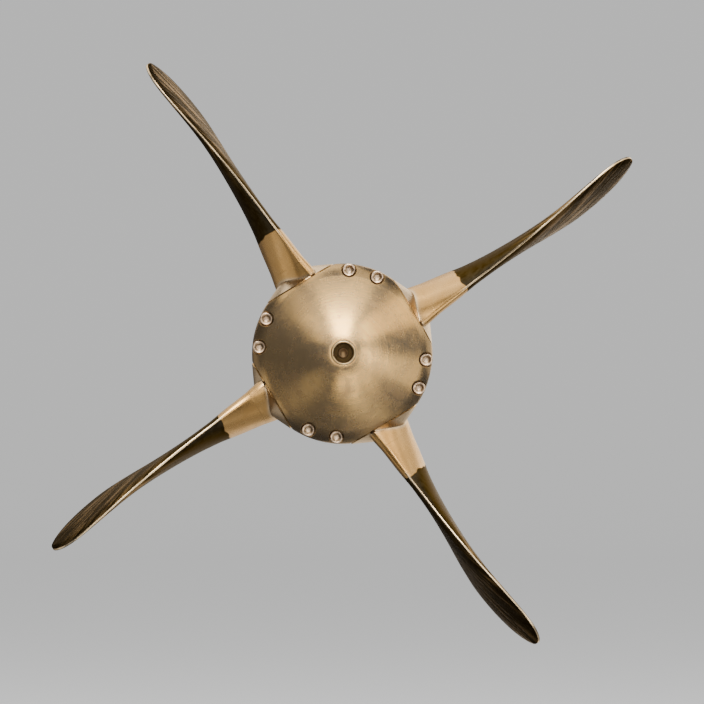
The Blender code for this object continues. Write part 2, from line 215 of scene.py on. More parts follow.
# %% [markdown]
# ## Light
# Bronze mostly shows its lamps. The turned dome draws each lamp out into a wedge, so its
# wedges say where they stand: a strong one high above, weaker ones right and below, and
# little at the left. The blades, seen edge-on, reflect what stands beside and behind them. A
# picture of a studio round the scene could do this too, but with separate boxes each gleam
# can be traced to one lamp. The paper is kept out of their light, or the lamps behind would
# draw their outlines on it.

# %% Studio
STUDIO_GREY = (0.090, 0.092, 0.098, 1)
IVORY, CREAM, AMBER, WHITE = (1, 0.95, 0.86), (1, 0.93, 0.82), (1, 0.86, 0.62), (1, 1, 1)
STUDIO_REACH = 2.4
boxes_light = bpy.data.collections.new("boxes_light")


def soft_box(name, off_axis, around, width, height, glow, colour=IVORY):
    """A rectangular lamp turned to the hub, off_axis degrees from the camera's line and
    around it from the right over the top. Its power is glow times pi times its area."""
    out, turn = radians(off_axis), radians(around)
    place = hub_middle + STUDIO_REACH * Vector((np.sin(out) * np.cos(turn), -np.cos(out),
                                                np.sin(out) * np.sin(turn)))
    data = bpy.data.lights.new(name, "AREA")
    data.shape = "RECTANGLE"
    data.size, data.size_y = width, height
    data.energy = glow * pi * width * height
    data.color = colour
    lamp = shown(name, data)
    lamp.location = place
    lamp.rotation_euler = (hub_middle - place).to_track_quat("-Z", "Y").to_euler()
    lamp.visible_camera = False
    lamp.light_linking.receiver_collection = boxes_light
    return lamp


LAMPS = (  # name, off_axis, around, width, height, glow, colour
    ("front_fill", 3, 90, 1.3, 1.3, 2, CREAM),
    ("key", 42, 92, 1.2, 1.2, 9),
    ("near_key", 28, 86, 0.45, 0.4, 10),
    ("key_left", 46, 136, 0.9, 1.1, 0.9),
    ("key_right", 45, 51, 0.8, 1, 1.7),
    ("top", 63, 88, 2, 0.8, 1.7),
    ("top_left", 61, 130, 0.9, 1, 0.7),
    ("right_up", 42, 22, 0.7, 1, 1.5),
    ("right", 41, -9, 1, 1, 2.6),
    ("right_far", 66, -15, 1.8, 1, 0.95),
    ("right_warm", 68, 37, 2, 1, 1.5, AMBER),
    ("low_right", 46, -46, 1, 1, 1.3),
    ("low", 44, 279, 1.2, 0.9, 1.7),
    ("low_far", 64, 292, 1.5, 0.7, 0.5, WHITE),
    ("low_left", 58, 225, 1.1, 1, 0.25, WHITE),
    ("side_upper_left", 97, 120, 1.5, 1.5, 1.2),
    ("side_top", 97, 76, 1.5, 1.3, 0.7),
    ("side_right", 97, 30, 1.5, 1.5, 0.8),
    ("side_left", 97, 210, 1.5, 1.5, 0.5),
    ("side_low", 97, 300, 1.5, 1.5, 0.22),
    ("back_top", 127, 105, 1.8, 1.8, 1.5),
    ("back_right", 127, 15, 1.8, 1.8, 0.8),
    ("back_left", 127, 200, 1.8, 1.8, 0.25),
    ("back_low", 127, 300, 1.8, 1.8, 0.20),
    ("behind_right", 157, 32, 1.3, 1.3, 2),
    ("behind_top", 157, 120, 1.1, 1.1, 0.8),
    ("behind_low", 157, 300, 1.2, 1.2, 0.9),
)
for lamp_sizes in LAMPS:
    soft_box(*lamp_sizes)
wash = soft_box("paper_wash", 50, 90, 3.0, 2.0, 4.0, WHITE)
wash.visible_glossy = False
wash.light_linking.receiver_collection = None

world = bpy.data.worlds.new("studio")
world.use_nodes = True
world.node_tree.nodes["Background"].inputs["Color"].default_value = STUDIO_GREY
bpy.context.scene.world = world

# %% [markdown]
# ## From numbers to a mesh
# Every surface is a grid of points, rows along the piece and columns round it, from numpy
# formulas. Subdivided boxes would be quicker to sketch, but a formula keeps true circles and
# true sizes at any density.

# %% Grids and pieces
TOUCHING = 2e-6  # metres: points nearer than this are one point


def grid_faces(rows, columns, ring=False):
    """Quads of a grid whose columns close round. A ring's rows close round too."""
    index = np.arange(rows * columns).reshape(rows, columns)
    lower = index if ring else index[:-1]
    upper = np.roll(index, -1, 0) if ring else index[1:]
    corners = [lower, np.roll(lower, -1, 1), np.roll(upper, -1, 1), upper]
    return np.stack(corners, -1).reshape(-1, 4)


def mesh_of(name, loops, ring=False, facing=1):
    """A closed mesh from loops of shape (row, point, 3) in millimetres, in world axes.

    End rows that lie in one point become a pole. facing -1 turns the faces over.
    """
    rows, columns, _ = loops.shape
    faces = grid_faces(rows, columns, ring)[:, ::facing]
    mesh = bpy.data.meshes.new(name)
    mesh.from_pydata((loops.reshape(-1, 3) * MM).tolist(), [], faces.tolist())
    mesh.update()
    return mesh


def welded(mesh):
    """Close poles and seams by joining points that coincide."""
    work = bmesh.new()
    work.from_mesh(mesh)
    bmesh.ops.remove_doubles(work, verts=work.verts, dist=TOUCHING)
    work.to_mesh(mesh)
    work.free()
    mesh.update()
    return mesh


def piece(name, mesh, finishes, body, slot, replaced, sharp=32):
    """Show a finished mesh, give it its materials and seat it on a body."""
    item = shown(name, mesh)
    for finish in finishes:
        mesh.materials.append(finish)
    mesh.shade_smooth()
    mesh.set_sharp_from_angle(angle=radians(sharp))
    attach(item, body)
    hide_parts(*replaced)
    return item


def store(mesh, name, values, kind="FLOAT", field="value"):
    """Keep values for every point of a mesh, for its finish to read."""
    layer = mesh.attributes.new(name, kind, "POINT")
    layer.data.foreach_set(field, values.ravel().astype(np.float32))


print("faces of a 3 by 8 grid:", len(grid_faces(3, 8)))

# %% [markdown]
# ## Turned shapes and their places
# A lathe turns a profile about an axis, and so do these functions. A matrix then carries the
# shape to its place: along the shaft for screws, or out along a blade.

# %% Turning and placing
def turned(profile, count):
    """Turn (radius, height) points about +Z: a point is (r cos a, r sin a, h)."""
    profile = np.asarray(profile, dtype=float)
    angle = np.arange(count) * 2 * pi / count
    radius, height = profile[:, :1], profile[:, 1:]
    return np.stack([radius * np.cos(angle), radius * np.sin(angle), height + 0 * angle], -1)


def lathe(profile, count):
    """Turn (radius, height) points about the shaft axis; heights count from the blade plane
    towards the nose. A point is (r cos a, -(85 + h), r sin a)."""
    x, z, height = np.moveaxis(turned(profile, count), -1, 0)
    return np.stack([x, -(BLADE_PLANE + height), z], -1)


def moved(loops, place):
    """Loops made about +Z, carried to a place given as a 4 by 4 matrix in millimetres."""
    place = np.array(place)
    return loops @ place[:3, :3].T + place[:3, 3]


def along_shaft(radius=0.0, angle=0.0, height=0.0, backwards=False):
    """A place whose +Z points to the nose, or to the rear, at a radius about the axis."""
    x, z = radius * np.cos(radians(angle)), radius * np.sin(radians(angle))
    turn = Matrix.Rotation(radians(-90 if backwards else 90), 4, "X")
    return Matrix.Translation((x, -(BLADE_PLANE + height), z)) @ turn


def along_blade(angle):
    """A place at the hub's middle whose +Z points outwards along a blade's pitch axis."""
    return (Matrix.Translation((0, -BLADE_PLANE, 0))
            @ Matrix.Rotation(radians(90 - angle), 4, "Y"))


print("blade places:", [round(angle, 1) for angle in BLADE_ANGLES], "degrees")

# %% [markdown]
# ## Profiles and cuts
# A machined edge is never quite sharp, so profile corners are rounded before they are turned.
# Holes and flats are then cut away, as they are in the real one. Holes in the grid itself
# would need no cut, but sockets, flats and counterbores overlap, and only a cut gives their
# true border lines.

# %% Rounding and cutting
CORNER_SHARE, CORNER_POINTS = 0.45, 5


def rounded(points, radius):
    """A profile whose inner corners are replaced with short arcs.

    Each corner P between A and B is cut back by radius along both sides, but by no more than
    CORNER_SHARE of a side, and a curve (1-t)^2 A' + 2t(1-t) P + t^2 B' joins the cuts.
    """
    points = np.asarray(points, dtype=float)
    t = np.linspace(0, 1, CORNER_POINTS)[:, None]
    out = [points[:1]]
    for before, corner, after in zip(points[:-2], points[1:-1], points[2:]):
        start, end = (corner + side / np.linalg.norm(side)
                      * min(radius, np.linalg.norm(side) * CORNER_SHARE)
                      for side in (before - corner, after - corner))
        out.append((1 - t) ** 2 * start + 2 * t * (1 - t) * corner + t**2 * end)
    out.append(points[-1:])
    return np.concatenate(out)


def dense(points, step):
    """A profile with extra points, so that none are further apart than step."""
    points = np.asarray(points, dtype=float)
    out = [points[:1]]
    for start, end in zip(points[:-1], points[1:]):
        count = max(1, int(np.ceil(np.linalg.norm(end - start) / step)))
        out.append(start + (end - start) * (np.arange(1, count + 1) / count)[:, None])
    return np.concatenate(out)


def cut(mesh, cutters):
    """The mesh with each cutter taken away, and the tiny edges closed up that cuts leave."""
    item = shown("work", mesh)
    tools = [shown("tool", cutter) for cutter in cutters]
    for tool in tools:
        step = item.modifiers.new("cut", "BOOLEAN")
        step.operation = "DIFFERENCE"
        step.solver = "EXACT"
        step.material_mode = "INDEX"
        step.object = tool
    graph = bpy.context.evaluated_depsgraph_get()
    result = bpy.data.meshes.new_from_object(item.evaluated_get(graph))
    for leftover in (item, *tools):
        bpy.data.objects.remove(leftover)
    whole = bmesh.new()
    whole.from_mesh(result)
    bmesh.ops.dissolve_degenerate(whole, dist=TOUCHING, edges=whole.edges)
    whole.to_mesh(result)
    whole.free()
    return result


def cutter_of(loops, places):
    """One cutter mesh with a copy of the loops at each place. Its faces have material 1, so
    the walls that it cuts get a piece's second finish."""
    rows, columns, _ = loops.shape
    faces = grid_faces(rows, columns)
    caps = [np.arange(columns)[::-1], np.arange(columns) + (rows - 1) * columns]
    points, all_faces = [], []
    for number, place in enumerate(places):
        points.append(moved(loops, place).reshape(-1, 3) * MM)
        start = number * rows * columns
        all_faces += (faces + start).tolist() + [(cap + start).tolist() for cap in caps]
    mesh = bpy.data.meshes.new("cutter")
    mesh.from_pydata(np.concatenate(points).tolist(), [], all_faces)
    mesh.polygons.foreach_set("material_index", np.ones(len(mesh.polygons), np.int32))
    return mesh


print("a rounded square corner has", len(rounded([(0, 0), (1, 0), (1, 1)], 0.2)), "points")

# %% [markdown]
# ## Bronze of the hub
# The real dome is pale turned bronze with fine rings from the tool, brown clouds of tarnish,
# pits, and a thin dull film. The rings are noise on a coordinate that only changes with
# radius and height. A ring pattern node would be too regular. The film is a rough coat over a
# sharper metal, so a gleam has a clear middle and wide shoulders; one roughness alone gives a
# mirror or a fog.

# %% Bronze of the turned hub
GOLD = (0.80, 0.465, 0.125)
PALE_GOLD = (0.84, 0.525, 0.17)
BROWN = (0.36, 0.215, 0.095)
UMBER = (0.085, 0.052, 0.028)
BORE_SHADE = (0.018, 0.012, 0.007)
SIDE_BROWN = (0.36, 0.26, 0.15)
NECK_BROWN = (0.36, 0.28, 0.185)
EDGE_TINT = (0.70, 0.60, 0.48, 1)
SIDE_BEGINS = (-0.133, -0.120)  # along the shaft, in metres, as the next three are
BORE_ENDS = (-0.112, -0.108)
NECK_BEGINS = (-0.036, -0.032)
NECK_ENDS = (-0.014, -0.0125)
BORE_WALL = (0.0123, 0.0126)  # from the shaft axis


def hub_bronze():
    """Turned bronze: fine rings, brown clouds, pits and short scratches."""
    f = Finish("hub_bronze")
    place = f.place()
    x, y, z = f.parts(place)
    radius = (x * x + z * z).maths("SQRT")
    ring_vector = f.node("ShaderNodeCombineXYZ", {0: radius + y, 1: x * 0.004, 2: z * 0.004})
    fine_rings = f.noise(ring_vector, 2600, detail=2)
    broad_rings = f.noise(ring_vector, 420, detail=3)
    clouds = f.noise(place, 26, detail=5, roughness=0.6, distortion=0.6)
    small_clouds = f.noise(place, 110, detail=5, roughness=0.62)
    specks = f.node("ShaderNodeTexVoronoi", {"Vector": place, "Scale": 260})
    speck_mask = f.ramp(specks, 0.06, 0.16, 1, 0) * f.ramp(small_clouds, 0.5, 0.62)
    scratch = f.noise(f.stretched(place, (0.0011, 0.0011, 0.042), (0.3, 0.9, 0.2)), 1.0, detail=2)
    scratch_mask = f.ramp(scratch, 0.70, 0.76)
    tarnish = f.ramp(clouds, 0.44, 0.68) * 0.32 + f.ramp(small_clouds, 0.46, 0.70) * 0.14
    # Darker towards the bottom: the brown clouds are made stronger there.
    tarnish = tarnish * f.ramp(z, -0.07, 0.03, 1.5, 0.75)
    colour = f.mix(f.ramp(broad_rings, 0.35, 0.65), GOLD, PALE_GOLD)
    colour = f.mix(tarnish, colour, BROWN)
    colour = f.mix(speck_mask * 0.45, colour, UMBER)
    colour = f.mix(scratch_mask * 0.35, colour, PALE_GOLD)
    # The steep side band is browner, most of all towards the bottom.
    side = f.ramp(y, *SIDE_BEGINS)
    colour = f.mix(side * f.ramp(z, -0.05, 0.05, 0.85, 0.5), colour, SIDE_BROWN)
    # Painted shade: the floor and drill hole of the centre bore are painted near black.
    in_bore = f.ramp(radius, *BORE_WALL, 1, 0) * f.ramp(y, *BORE_ENDS, 1, 0)
    colour = f.mix(in_bore * 0.96, colour, BORE_SHADE)
    neck = f.ramp(y, *NECK_BEGINS) * f.ramp(y, *NECK_ENDS, 1, 0)
    colour = f.mix(neck * 0.8, colour, NECK_BROWN)
    roughness = f.ramp(small_clouds, 0.3, 0.7, 0.19, 0.27) + tarnish * 0.14 + neck * 0.12
    edge = f.node("ShaderNodeBevel", {"Radius": 0.0008}, samples=6)
    rings = f.bump(fine_rings, 0.00004, under=edge)
    rings = f.bump(broad_rings, 0.00008, under=rings)
    marks = f.bump(1 - speck_mask * 0.5 - scratch_mask * 0.25, 0.0001, under=rings)
    film = (1 - side * 0.5) * (1 - in_bore)
    return f.done(f.principled(base_color=colour, metallic=1.0, roughness=roughness, normal=marks,
                               specular_tint=EDGE_TINT, coat_weight=film, coat_roughness=0.5,
                               coat_ior=1.8))


HUB_BRONZE = hub_bronze()
print("hub bronze:", len(HUB_BRONZE.node_tree.nodes), "nodes")

# %% [markdown]
# ## Bored walls and the bush
# Cut walls are dull, never polished, and painted dark brown: painted shade for inside the holes.
# The bush is one turned sleeve: a polished lip painted pale, partly a painted highlight, round a
# bore painted dark as painted shade. Its two tones come from the depth below the nose, so their
# border is soft. Two materials would leave a hard line there.

# %% Bronze of bored walls and of the bush
def shade_wall_bronze():
    """Bored bronze, dull, and painted dark brown as painted shade for the inside of holes."""
    f = Finish("shade_wall_bronze")
    place = f.place()
    clouds = f.noise(place, 180, detail=4)
    lines = f.noise(f.stretched(place, (0.0033, 0.0004, 0.0033)), 1.0, detail=2)
    # Painted shade: dark browns for the walls inside the holes.
    colour = f.mix(f.ramp(clouds, 0.35, 0.7), (0.26, 0.17, 0.085), (0.12, 0.08, 0.045))
    return f.done(f.principled(base_color=colour, metallic=1.0, normal=f.bump(lines, 0.00003),
                               roughness=f.ramp(clouds, 0.3, 0.7, 0.32, 0.45)))


def bush_bronze():
    """The bush: a polished lip painted pale, partly a painted highlight, round a bore painted dark
    as painted shade.
    """
    f = Finish("bush_bronze")
    place = f.place()
    _, y, _ = f.parts(place)
    clouds = f.noise(place, 240, detail=4)
    depth = y + (BLADE_PLANE + NOSE_HEIGHT) * MM
    lip = f.ramp(depth, 0.0006, 0.0016, 1, 0)
    # Painted shade: the bore below the lip is painted dark brown.
    dull = f.mix(f.ramp(clouds, 0.35, 0.7), (0.09, 0.058, 0.030), (0.045, 0.030, 0.018))
    # Painted highlight, partly polish: the lip is painted pale.
    colour = f.mix(lip, dull, (0.94, 0.69, 0.38))
    roughness = f.ramp(clouds, 0.3, 0.7, 0.26, 0.34) + (1 - lip) * 0.12
    return f.done(f.principled(base_color=colour, metallic=1.0, roughness=roughness,
                               normal=f.bump(clouds, 0.00002)))


SHADE_WALL_BRONZE = shade_wall_bronze()
BUSH_BRONZE = bush_bronze()
CASTING = ([HUB_BRONZE, SHADE_WALL_BRONZE], "hub", "hub_bronze")  # finishes, body and slot
print("bush bronze:", len(BUSH_BRONZE.node_tree.nodes), "nodes")

# %% [markdown]
# ## Bronze of the blades
# Each blade was cast, ground by hand with long slanting strokes, and left to tarnish brown.
# Its root is polished, up to an uneven border 138 mm from the axis, and its edges are worn
# bright. Painted marks would stretch where the blade twists. Here every point carries its
# place along the chord, through the thickness and along the span, and the marks are noise in
# that place. Brown and gold are two shaders, so each keeps its own tint towards its rim.

# %% Bronze of the blades
# Painted highlight: a paler bronze for the corner where each blade meets its palm.
HIGHLIGHT_BRONZE = (0.90, 0.71, 0.48)
WORN_BRONZE = (0.97, 0.77, 0.50)
GROOVE_BROWN = (0.024, 0.018, 0.012)
GOLD_TINT = (0.92, 0.84, 0.72, 1)
TARNISH_TINT = (0.46, 0.395, 0.32, 1)
ROOT_EDGE = 0.138  # metres from the shaft axis
BORDER_SOFTNESS = 0.0007
BORDER_WANDER = 0.008
LAND_WIDTH = (0.003, 0.005)  # in from the blade's edge
LAND_THICKNESS = (0.0006, 0.0010)  # either side of the middle
LAND_BEGINS = (0.128, 0.140)
OUTER_BLADE = (0.18, 0.27)
GRIND_TURN = 0.65
FACET_SIZE = (0.0075, 0.03, 0.085)  # of one grinding mark: along the chord, through, out
STREAK_SIZE = (0.0022, 0.010, 0.060)


def blade_bronze(name, seed):
    """A cast blade: polished gold near the root, brown tarnish beyond, long grinding marks.
    Its marks follow the attribute blade_place, so they turn with the blade."""
    f = Finish(name)
    place = f.attribute("blade_place", output=1)
    rim = f.attribute("edge_distance")
    corner_highlight = f.attribute("corner_highlight")
    _, across, span = f.parts(place)
    shifted = f.node("ShaderNodeVectorMath", {0: place, 1: (seed, seed * 0.7, 0)})
    clouds = f.noise(shifted, 34, detail=5, roughness=0.6, distortion=0.4)
    small_clouds = f.noise(shifted, 150, detail=4, roughness=0.6)
    facets = f.noise(f.stretched(shifted, FACET_SIZE, (0, GRIND_TURN, 0)), 1.0,
                     detail=2, roughness=0.55, distortion=0.35)
    fine_streaks = f.noise(f.stretched(shifted, STREAK_SIZE, (0, GRIND_TURN - 0.1, 0)), 1.0,
                           detail=2)
    border = span - (f.noise(shifted, 60, detail=0.5) - 0.5) * BORDER_WANDER
    tarnished = f.ramp(border, ROOT_EDGE - BORDER_SOFTNESS, ROOT_EDGE + BORDER_SOFTNESS)
    worn = f.ramp(rim, *LAND_WIDTH, 1, 0) * f.ramp(across.maths("ABSOLUTE"), *LAND_THICKNESS, 1, 0)
    worn = worn * f.ramp(span, *LAND_BEGINS)
    outer = f.ramp(span, *OUTER_BLADE)
    ground = f.ramp(facets, 0.47, 0.60) * f.ramp(fine_streaks, 0.30, 0.60, 0.45, 1.0)
    ground = ground * f.ramp(clouds, 0.34, 0.52, 0.4, 1.0)
    bare = 1 - tarnished * (1 - worn * 0.95) * (1 - ground * outer * 0.42)
    gold = f.mix(f.ramp(clouds, 0.35, 0.65), (0.82, 0.50, 0.19), (0.77, 0.45, 0.155))
    # Painted highlight: the gold is painted paler in the corner at the palm, standing in for the
    # fillet's pale gleam.
    gold = f.mix(corner_highlight * 0.85, gold, HIGHLIGHT_BRONZE)
    gold = f.mix(worn, gold, WORN_BRONZE)
    brown = f.mix(f.ramp(small_clouds, 0.35, 0.65), (0.054, 0.043, 0.026), (0.088, 0.070, 0.044))
    groove = f.ramp(facets, 0.36, 0.47, 0.22, 0) + f.ramp(fine_streaks, 0.34, 0.46, 0.2, 0)
    brown = f.mix(groove * outer, brown, GROOVE_BROWN)
    ground_depth = f.ramp(rim, 0.001, 0.016) * f.ramp(span, 0.139, 0.26)
    marks = f.bump(fine_streaks * ground_depth, 0.00008)
    marks = f.bump(facets * ground_depth, 0.0018, under=marks)
    marks = f.bump(small_clouds, 0.00004, under=marks)
    metal = f.principled(base_color=gold, metallic=1.0, normal=marks, specular_tint=GOLD_TINT,
                         roughness=f.ramp(small_clouds, 0.3, 0.7, 0.25, 0.32) - worn * 0.05)
    tarnish = f.principled(base_color=brown, metallic=1.0, normal=marks,
                           specular_tint=TARNISH_TINT,
                           roughness=f.ramp(small_clouds, 0.3, 0.7, 0.34, 0.42))
    return f.done(f.blend(bare, tarnish, metal))


print("tarnish begins", round(ROOT_EDGE / MM), "mm from the shaft axis")

# %% [markdown]
# ## Steel and rubber
# The screws are stainless steel, their hexagon sockets painted dark brown as painted shade.
# An attribute marks the socket, since a mask by radius would need the middle of every screw.
# The seals are plain black rubber: only a dark line of them shows.

# %% Steel and rubber
SOCKET_SHADE_BROWN = (0.27, 0.175, 0.09)


def screw_steel(name, bright, dull):
    """Stainless steel, painted dark brown as painted shade where the attribute socket is 1."""
    f = Finish(name)
    place = f.place()
    socket = f.attribute("socket")
    clouds = f.noise(place, 420, detail=4)
    colour = f.mix(f.ramp(clouds, 0.35, 0.7), bright, dull)
    # Painted shade: the socket is painted dark brown, with a ragged border.
    socket_shade = f.ramp(socket + (clouds - 0.5) * 0.5, 0.3, 0.7)
    colour = f.mix(socket_shade * 0.9, colour, SOCKET_SHADE_BROWN)
    roughness = f.ramp(clouds, 0.3, 0.7, 0.28, 0.40)
    return f.done(f.principled(base_color=colour, metallic=1.0, roughness=roughness,
                               normal=f.bump(clouds, 0.00004)))


def seal_rubber():
    """Black rubber, matt and slightly mottled."""
    f = Finish("seal_rubber")
    place = f.place()
    clouds = f.noise(place, 500, detail=3)
    colour = f.mix(clouds, (0.012, 0.012, 0.012), (0.03, 0.028, 0.026))
    return f.done(f.principled(base_color=colour, metallic=0.0, normal=f.bump(clouds, 0.00005),
                               roughness=f.ramp(clouds, 0.3, 0.7, 0.55, 0.75)))


SCREW_STEEL = screw_steel("screw_steel", (0.86, 0.66, 0.48), (0.66, 0.49, 0.35))
# Painted shade: a darker copy of the steel, for the screw at the bottom of the centre bore.
SHADED_STEEL = screw_steel("shaded_steel", (0.40, 0.26, 0.15), (0.26, 0.16, 0.09))
SEAL_RUBBER = seal_rubber()
print("screw steel:", len(SCREW_STEEL.node_tree.nodes), "nodes")

# %% [markdown]
# ## The blade's laws
# A propeller blade is a piece of a screw surface: each section is turned by the angle whose
# tangent is pitch / (2 pi r). A feathering blade turns as a whole until one section lies along
# the shaft, here at 205 mm, so the photograph shows one face near the hub and the other near
# the tip. Half chord, shift and half thickness follow a smooth curve through a few stations.
# A spline would overshoot at the round tip.

# %% Blade laws
PITCH = 1.2 * 2 * TIP_RADIUS
AXIAL_RADIUS = 205.0
CAMBER_RATIO = 0.006
EDGE_HALF_THICKNESS = 1.15
ROOT_EDGE_EXTRA = 1.1
EDGE_BLUNTNESS = 200
RAKE_AT_ROOT = 1.8
RAKE_AT_TIP = 12.0
RAKE_POWER = 2.3
LENS_FULLNESS = 0.85
OUTLINE = np.array((  # radius, half chord, shift of mid chord, half thickness
    (80, 36, 0, 16.4),
    (83, 39.6, -0.5, 16.2),
    (85.5, 40.2, -1, 16.1),
    (89, 40.8, -1.5, 15.8),
    (104, 41.2, -2, 13.9),
    (128, 44.5, -2, 12),
    (152, 47.8, -3, 9.2),
    (176, 54.5, -4.5, 8.3),
    (205, 64.5, -7, 8.1),
    (235, 71.5, -8, 7.4),
    (265, 71.5, -3.5, 6.3),
    (295, 63, 7, 5.3),
    (322, 48, 20, 4),
    (346, 0, 34, 2),
))
PALM_RADIUS = 37.6
PALM_RIM = 82.3
PALM_UNDERSIDE = 69.0
NECK_RADIUS = 25.0
FOOT_RADIUS = 34.0
FOOT_TOP = 58.0
FOOT_BOTTOM = 46.0
CONE_RADIUS, CONE_RISE = 18.5, 9.0  # the palm's cone narrows to this radius over this rise
FILLET = 4.0
HIGHLIGHT_REACH, HIGHLIGHT_FADE = 4.0, 1.5
FAR_FROM_EDGE = 50.0


def smooth_curve(stations, values, at):
    """A cubic through the stations. Its slopes are harmonic means of the rises beside them."""
    steps = np.diff(stations)
    rises = np.diff(values) / steps
    slopes = np.zeros(len(values))
    turns = rises[:-1] * rises[1:] > 0
    safe = np.where(turns, rises[:-1] + rises[1:], 1.0)
    slopes[1:-1] = np.where(turns, 2 * rises[:-1] * rises[1:] / safe, 0.0)
    slopes[0], slopes[-1] = rises[0], rises[-1]
    k = np.clip(np.searchsorted(stations, at) - 1, 0, len(steps) - 1)
    t = (at - stations[k]) / steps[k]
    bend_in, bend_out = slopes[k] * steps[k], slopes[k + 1] * steps[k]
    return (values[k] * (2 * t**3 - 3 * t**2 + 1) + bend_in * (t**3 - 2 * t**2 + t)
            + values[k + 1] * (3 * t**2 - 2 * t**3) + bend_out * (t**3 - t**2))


print("widest chord:", 2 * OUTLINE[:, 1].max(), "mm; pitch:", round(PITCH), "mm")

# %% [markdown]
# ## The blade's surface
# The blade grows out of a round palm through a hollow fillet. Its sections are thin lenses
# with a blunt land along both edges, the bright line in the photograph. A loft between solids
# would need its fillet cut in afterwards. Here the larger of two reaches, the section's own
# and the palm's cone, is taken softly, so the fillet comes from the same formula and the grid
# stays whole from foot to tip.

# %% Blade surface
SECTION_POINTS = 192
EDGE_CROWDING = 1.6
COLUMN_SPREAD, ROOT_SPREAD = 0.5, 1.7
ROOT_SHARPNESS = 0.2
CONE_TOP = 100.0
ROOT_TOP, TIP_BEGINS = 106.0, 318.0
TIP_CHORD = 9.0  # the blade thins where half its chord is below this


def blade_heights():
    """Distances of the sections from the shaft axis, close together at the root and tip."""
    root = np.linspace(PALM_RIM, ROOT_TOP, 60)
    middle = np.linspace(ROOT_TOP, TIP_BEGINS, 107)[1:]
    tip = TIP_BEGINS + (TIP_RADIUS - TIP_BEGINS) * np.sin(np.linspace(0, pi / 2, 40)[1:])
    return np.concatenate([root, middle, tip])


def near_root(height, end, fade):
    """1 near the hub, falling to 0 at end over a length of fade."""
    return np.clip((end - height) / fade, 0, 1)


def soft_max(first, second, width):
    """The larger of two lengths, rounded over width where they meet."""
    gap = first - second
    return ((first + second + np.sqrt(gap**2 + width**2)) / 2
            - width / 2 * np.exp(-np.abs(gap) / width))


def blade_loops():
    """The blade above its palm's rim, in its own frame, with each point's place in its
    section, its distance from the edge and how deep it lies in the corner at the palm.

    A section is a lens: x = c cos a along the chord and, across it, b sin a times a factor
    that sharpens its edges, plus a small camber. A thin slab with blunt ends is added as the
    root of the sum of squares, which leaves a land along the edges. The section is turned by
    the helix angle at its radius. Near the root each point is pushed out to the palm's cone
    where that is larger. The columns crowd towards the edges, by a power of each quarter
    turn, so that the narrow land has columns of its own.
    """
    height = blade_heights()[:, None]
    stations, half_chords, shifts, half_thicknesses = OUTLINE.T
    half_chord = np.sqrt(np.maximum(smooth_curve(stations, half_chords**2, height), 0))
    shift = smooth_curve(stations, shifts, height)
    half_thickness = smooth_curve(stations, half_thicknesses, height)
    half_thickness = half_thickness * np.minimum(1, half_chord / TIP_CHORD) ** 0.5
    helix = np.arctan(PITCH / (2 * pi * height)) - np.arctan(PITCH / (2 * pi * AXIAL_RADIUS))
    part = np.clip((height - HUB_RADIUS) / (TIP_RADIUS - HUB_RADIUS), 0, 1)
    rake = RAKE_AT_ROOT + (RAKE_AT_TIP - RAKE_AT_ROOT) * np.sin(pi / 2 * part**RAKE_POWER) ** 2
    quarters = np.arange(SECTION_POINTS) * 4 / SECTION_POINTS
    at_edge = 2 * np.round(quarters / 2)
    past_edge = quarters - at_edge
    even = (at_edge + np.sign(past_edge) * np.abs(past_edge) ** EDGE_CROWDING) * pi / 2
    spread = COLUMN_SPREAD + ROOT_SPREAD * near_root(height, 150, 60)
    angle = np.arctan2(np.sin(even) * spread, np.cos(even))
    along, across = np.cos(angle), np.sin(angle)
    chordwise = shift + half_chord * along
    camber = CAMBER_RATIO * 2 * half_chord * (1 - along**2)
    lens = half_thickness * np.abs(across) ** (1 + ROOT_SHARPNESS * near_root(height, 160, 30))
    lens = lens * (LENS_FULLNESS + (1 - LENS_FULLNESS) * np.abs(across))
    land = EDGE_HALF_THICKNESS + ROOT_EDGE_EXTRA * near_root(height, 150, 50)
    slab = np.minimum(land, half_thickness)
    slab = slab * np.sqrt(1 - np.abs(along) ** EDGE_BLUNTNESS)
    through = np.sign(across) * np.hypot(lens, slab) + camber
    turn_cos, turn_sin = np.cos(helix), np.sin(helix)
    sideways = rake - chordwise * turn_sin + through * turn_cos
    forward = -chordwise * turn_cos - through * turn_sin
    reach = np.hypot(sideways, forward)
    cone = PALM_RADIUS - (height - PALM_RIM) * (PALM_RADIUS - CONE_RADIUS) / CONE_RISE
    cone = np.where(height < CONE_TOP, np.maximum(cone, 0), 0)
    grown = np.where(cone > 0, soft_max(reach, cone, FILLET), reach)
    factor = grown / np.maximum(reach, 1e-6)
    loops = np.stack([-sideways * factor, forward * factor, height + 0 * along], -1)
    edge = half_chord * (1 - np.abs(along))
    # How deep a point lies in the corner at the palm: the weight of the painted highlight there.
    depth = 1 / (1 + np.exp((reach - cone - HIGHLIGHT_REACH) / HIGHLIGHT_FADE))
    corner_highlight = np.where(cone > 0, depth, 0)
    return loops, chordwise, through, edge, corner_highlight


